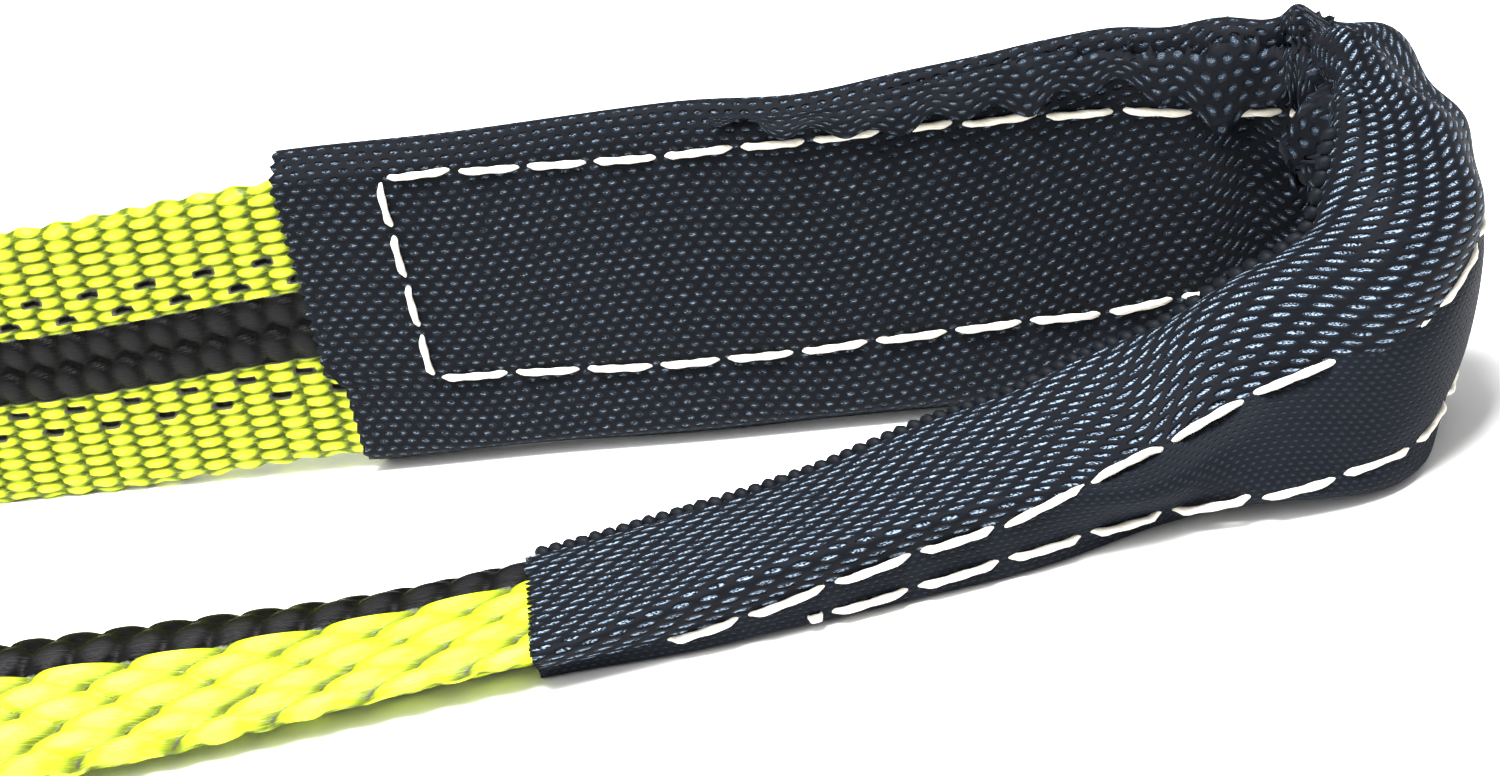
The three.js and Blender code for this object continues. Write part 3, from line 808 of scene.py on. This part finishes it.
def selvage():
    """Beaded woven edge that runs along the crest of the front leg."""
    points, quads = [], []
    place, sides = SELVAGE_START, 8
    while place < SLEEVE_FRONT - 0.3:
        stops = []
        for step in (0.0, SELVAGE_LENGTH):
            ring = ring_near(place + step)
            best = int(np.argmax(-0.37 * ring[:, 0] + 0.93 * ring[:, 1]))
            _, plan, normal = on_plan(place + step)
            stops.append(np.array([*(plan + normal * (ring[best, 0] - 0.2)), ring[best, 1] - 0.2]))
        a, b = stops
        ahead = (b - a) / np.linalg.norm(b - a)
        across = np.cross(ahead, [0, 0, 1.0])
        across /= np.linalg.norm(across)
        up = np.cross(across, ahead)
        base = len(points)
        for i in range(6):
            t = i / 5
            barrel = math.sqrt(max(0.2, 1 - 0.85 * (2 * t - 1) ** 2))
            thick = SELVAGE_RADIUS * barrel * rng.uniform(0.93, 1.07)
            centre = a + (b - a) * (t * 1.25 - 0.12) + across * 0.25 * (2 * t - 1)
            for k in range(sides):
                angle = 2 * math.pi * k / sides
                points.append(centre + (up * math.cos(angle) + across * math.sin(angle)) * thick)
        quads.extend(tuple(base + i for i in face)[::-1] for face in grid_quads(6, sides))
        quads.append(tuple(base + i for i in range(sides)))
        quads.append(tuple(base + 6 * sides - 1 - i for i in range(sides)))
        place += SELVAGE_PITCH * rng.uniform(0.9, 1.1)
    obj = make_mesh("sleeve_selvage", np.array(points), quads, None, None, selvage_look)
    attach(obj, "root")
    return obj


def flap():
    """Loose top edge of the cloth that hangs over the inner face towards the bend."""
    points, count, places = [], 9, np.linspace(FLAP_EDGE[0][0], FLAP_EDGE[-1][0], 200)
    for place in places:
        ring = ring_near(place)
        top = ring[:, 1].max()
        low = min(table(FLAP_EDGE, place)[0] + 0.5 * math.sin(place * 1.3), top - 0.3)
        inner = ring[ring[:, 0] < ring[:, 0].mean()]
        inner = inner[np.argsort(inner[:, 1])]
        _, plan, normal = on_plan(place)
        for side in (0.35, 1.15):
            row = np.linspace(top - 0.7, low, count)
            row = row if side < 1 else row[::-1]
            for z in row:
                t = (top - z) / max(top - low, 0.1)
                face = np.interp(min(z, top - 1.2), inner[:, 1], inner[:, 0])
                loose = smooth(place, -26, -10) * t
                x = face - side * (0.25 + 0.9 * t ** 0.7) - 0.25 * t * math.sin(place * 0.9)
                x -= loose * (1.2 + 1.1 * math.sin(place * 0.8))
                points.append([*(plan + normal * x), z])
    along = np.repeat(np.stack([places, places * 0], 1), 2 * count, 0) * 0.1
    across = np.tile(np.stack([np.zeros(2 * count), np.arange(2 * count) * 0.05], 1), (len(places), 1))
    layers = {"outside": np.zeros(len(points)), "shaded_seam_band": np.zeros(len(points))}
    obj = make_mesh("sleeve_flap", np.array(points), grid_quads(len(places), 2 * count), along + across,
                    layers, sleeve_look)
    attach(obj, "root")
    return obj


# Step along the web and points across it, finer where the photo shows the web.
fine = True
SHOWN = (0.36, 118) if fine else (0.9, 60)
FAR = (0.75, 70) if fine else (1.5, 40)
web_piece("web_front_leg", 68, 190, *SHOWN)
web_piece("web_rear_leg", -175, -90, *SHOWN)
web_piece("web_far_end", 190, LOOP_LENGTH - 175, *FAR)
web_piece("web_lap_layer", -LAP_PLACE - LAP_LENGTH / 2, -175, 0.75, 70)
web_piece("web_in_sleeve", -90, 68, 1.5, 40, full=0.3)
cloth = sleeve_piece()
inner_seam()
outer_seam()
lap_seams()
edge = selvage()
loose_edge = flap()

# Camera, as solved from the photo: its turn, tilt, roll and place from the middle of the bend.
TURN, ELEVATION, ROLL = math.radians(10.2), math.radians(22.0), math.radians(13.0)
CAMERA_LEFT, CAMERA_BACK, CAMERA_UP = 41.0, 186.8, 89.6
SENSOR_WIDTH, FOCAL_PIXELS, PHOTO_PIXELS = 36, 2800, 1500
along_photo = np.array([math.cos(TURN), math.sin(TURN), 0])
into_photo = np.array([-math.sin(TURN), math.cos(TURN), 0])
bend_centre = np.array([CENTRE_SHIFT[0] - BEND_RADIUS, CENTRE_SHIFT[1], 0])
stand = (bend_centre - CAMERA_LEFT * along_photo - CAMERA_BACK * into_photo
         + np.array([0, 0, CAMERA_UP]))
forward = into_photo * math.cos(ELEVATION) - np.array([0, 0, math.sin(ELEVATION)])
down = np.cross(forward, along_photo)
right = along_photo * math.cos(ROLL) + down * math.sin(ROLL)
downward = -along_photo * math.sin(ROLL) + down * math.cos(ROLL)
camera_data = bpy.data.cameras.new("camera")
camera_data.sensor_width = SENSOR_WIDTH
camera_data.lens = SENSOR_WIDTH * FOCAL_PIXELS / PHOTO_PIXELS
camera_data.clip_start = 0.01
camera = bpy.data.objects.new("camera", camera_data)
bpy.context.scene.collection.objects.link(camera)
camera.matrix_world = Matrix((
    (right[0], -downward[0], -forward[0], stand[0] * MM),
    (right[1], -downward[1], -forward[1], stand[1] * MM),
    (right[2], -downward[2], -forward[2], stand[2] * MM),
    (0, 0, 0, 1)))
bpy.context.scene.camera = camera

floor_mesh = bpy.data.meshes.new("floor")
floor_mesh.from_pydata([(-3, -3, 0), (3, -3, 0), (3, 3, 0), (-3, 3, 0)], [], [(0, 1, 2, 3)])
floor = bpy.data.objects.new("floor", floor_mesh)
bpy.context.scene.collection.objects.link(floor)
floor_look, floor_tree, floor_shader = material("pale floor")
floor_shader.inputs["Base Color"].default_value = (0.97, 0.97, 0.97, 1)
floor_shader.inputs["Roughness"].default_value = 0.9
floor_mesh.materials.append(floor_look)

world = bpy.data.worlds.new("studio")
bpy.context.scene.world = world
world.use_nodes = True
world.node_tree.nodes["Background"].inputs["Color"].default_value = (1, 1, 1, 1)
world.node_tree.nodes["Background"].inputs["Strength"].default_value = 0.72


def softbox(name, at, size, power):
    """A square light that aims at the bend."""
    data = bpy.data.lights.new(name, "AREA")
    data.shape = "SQUARE"
    data.size = size
    data.energy = power
    light = bpy.data.objects.new(name, data)
    bpy.context.scene.collection.objects.link(light)
    light.location = at
    aim = Vector((0.1, 0.0, 0.01)) - Vector(at)
    light.rotation_euler = aim.to_track_quat("-Z", "Y").to_euler()


softbox("key", (0.05, -0.12, 0.5), 0.22, 9.0)
softbox("fill", (-0.45, -0.35, 0.45), 0.5, 3.0)
bpy.context.scene.view_settings.view_transform = "Standard"
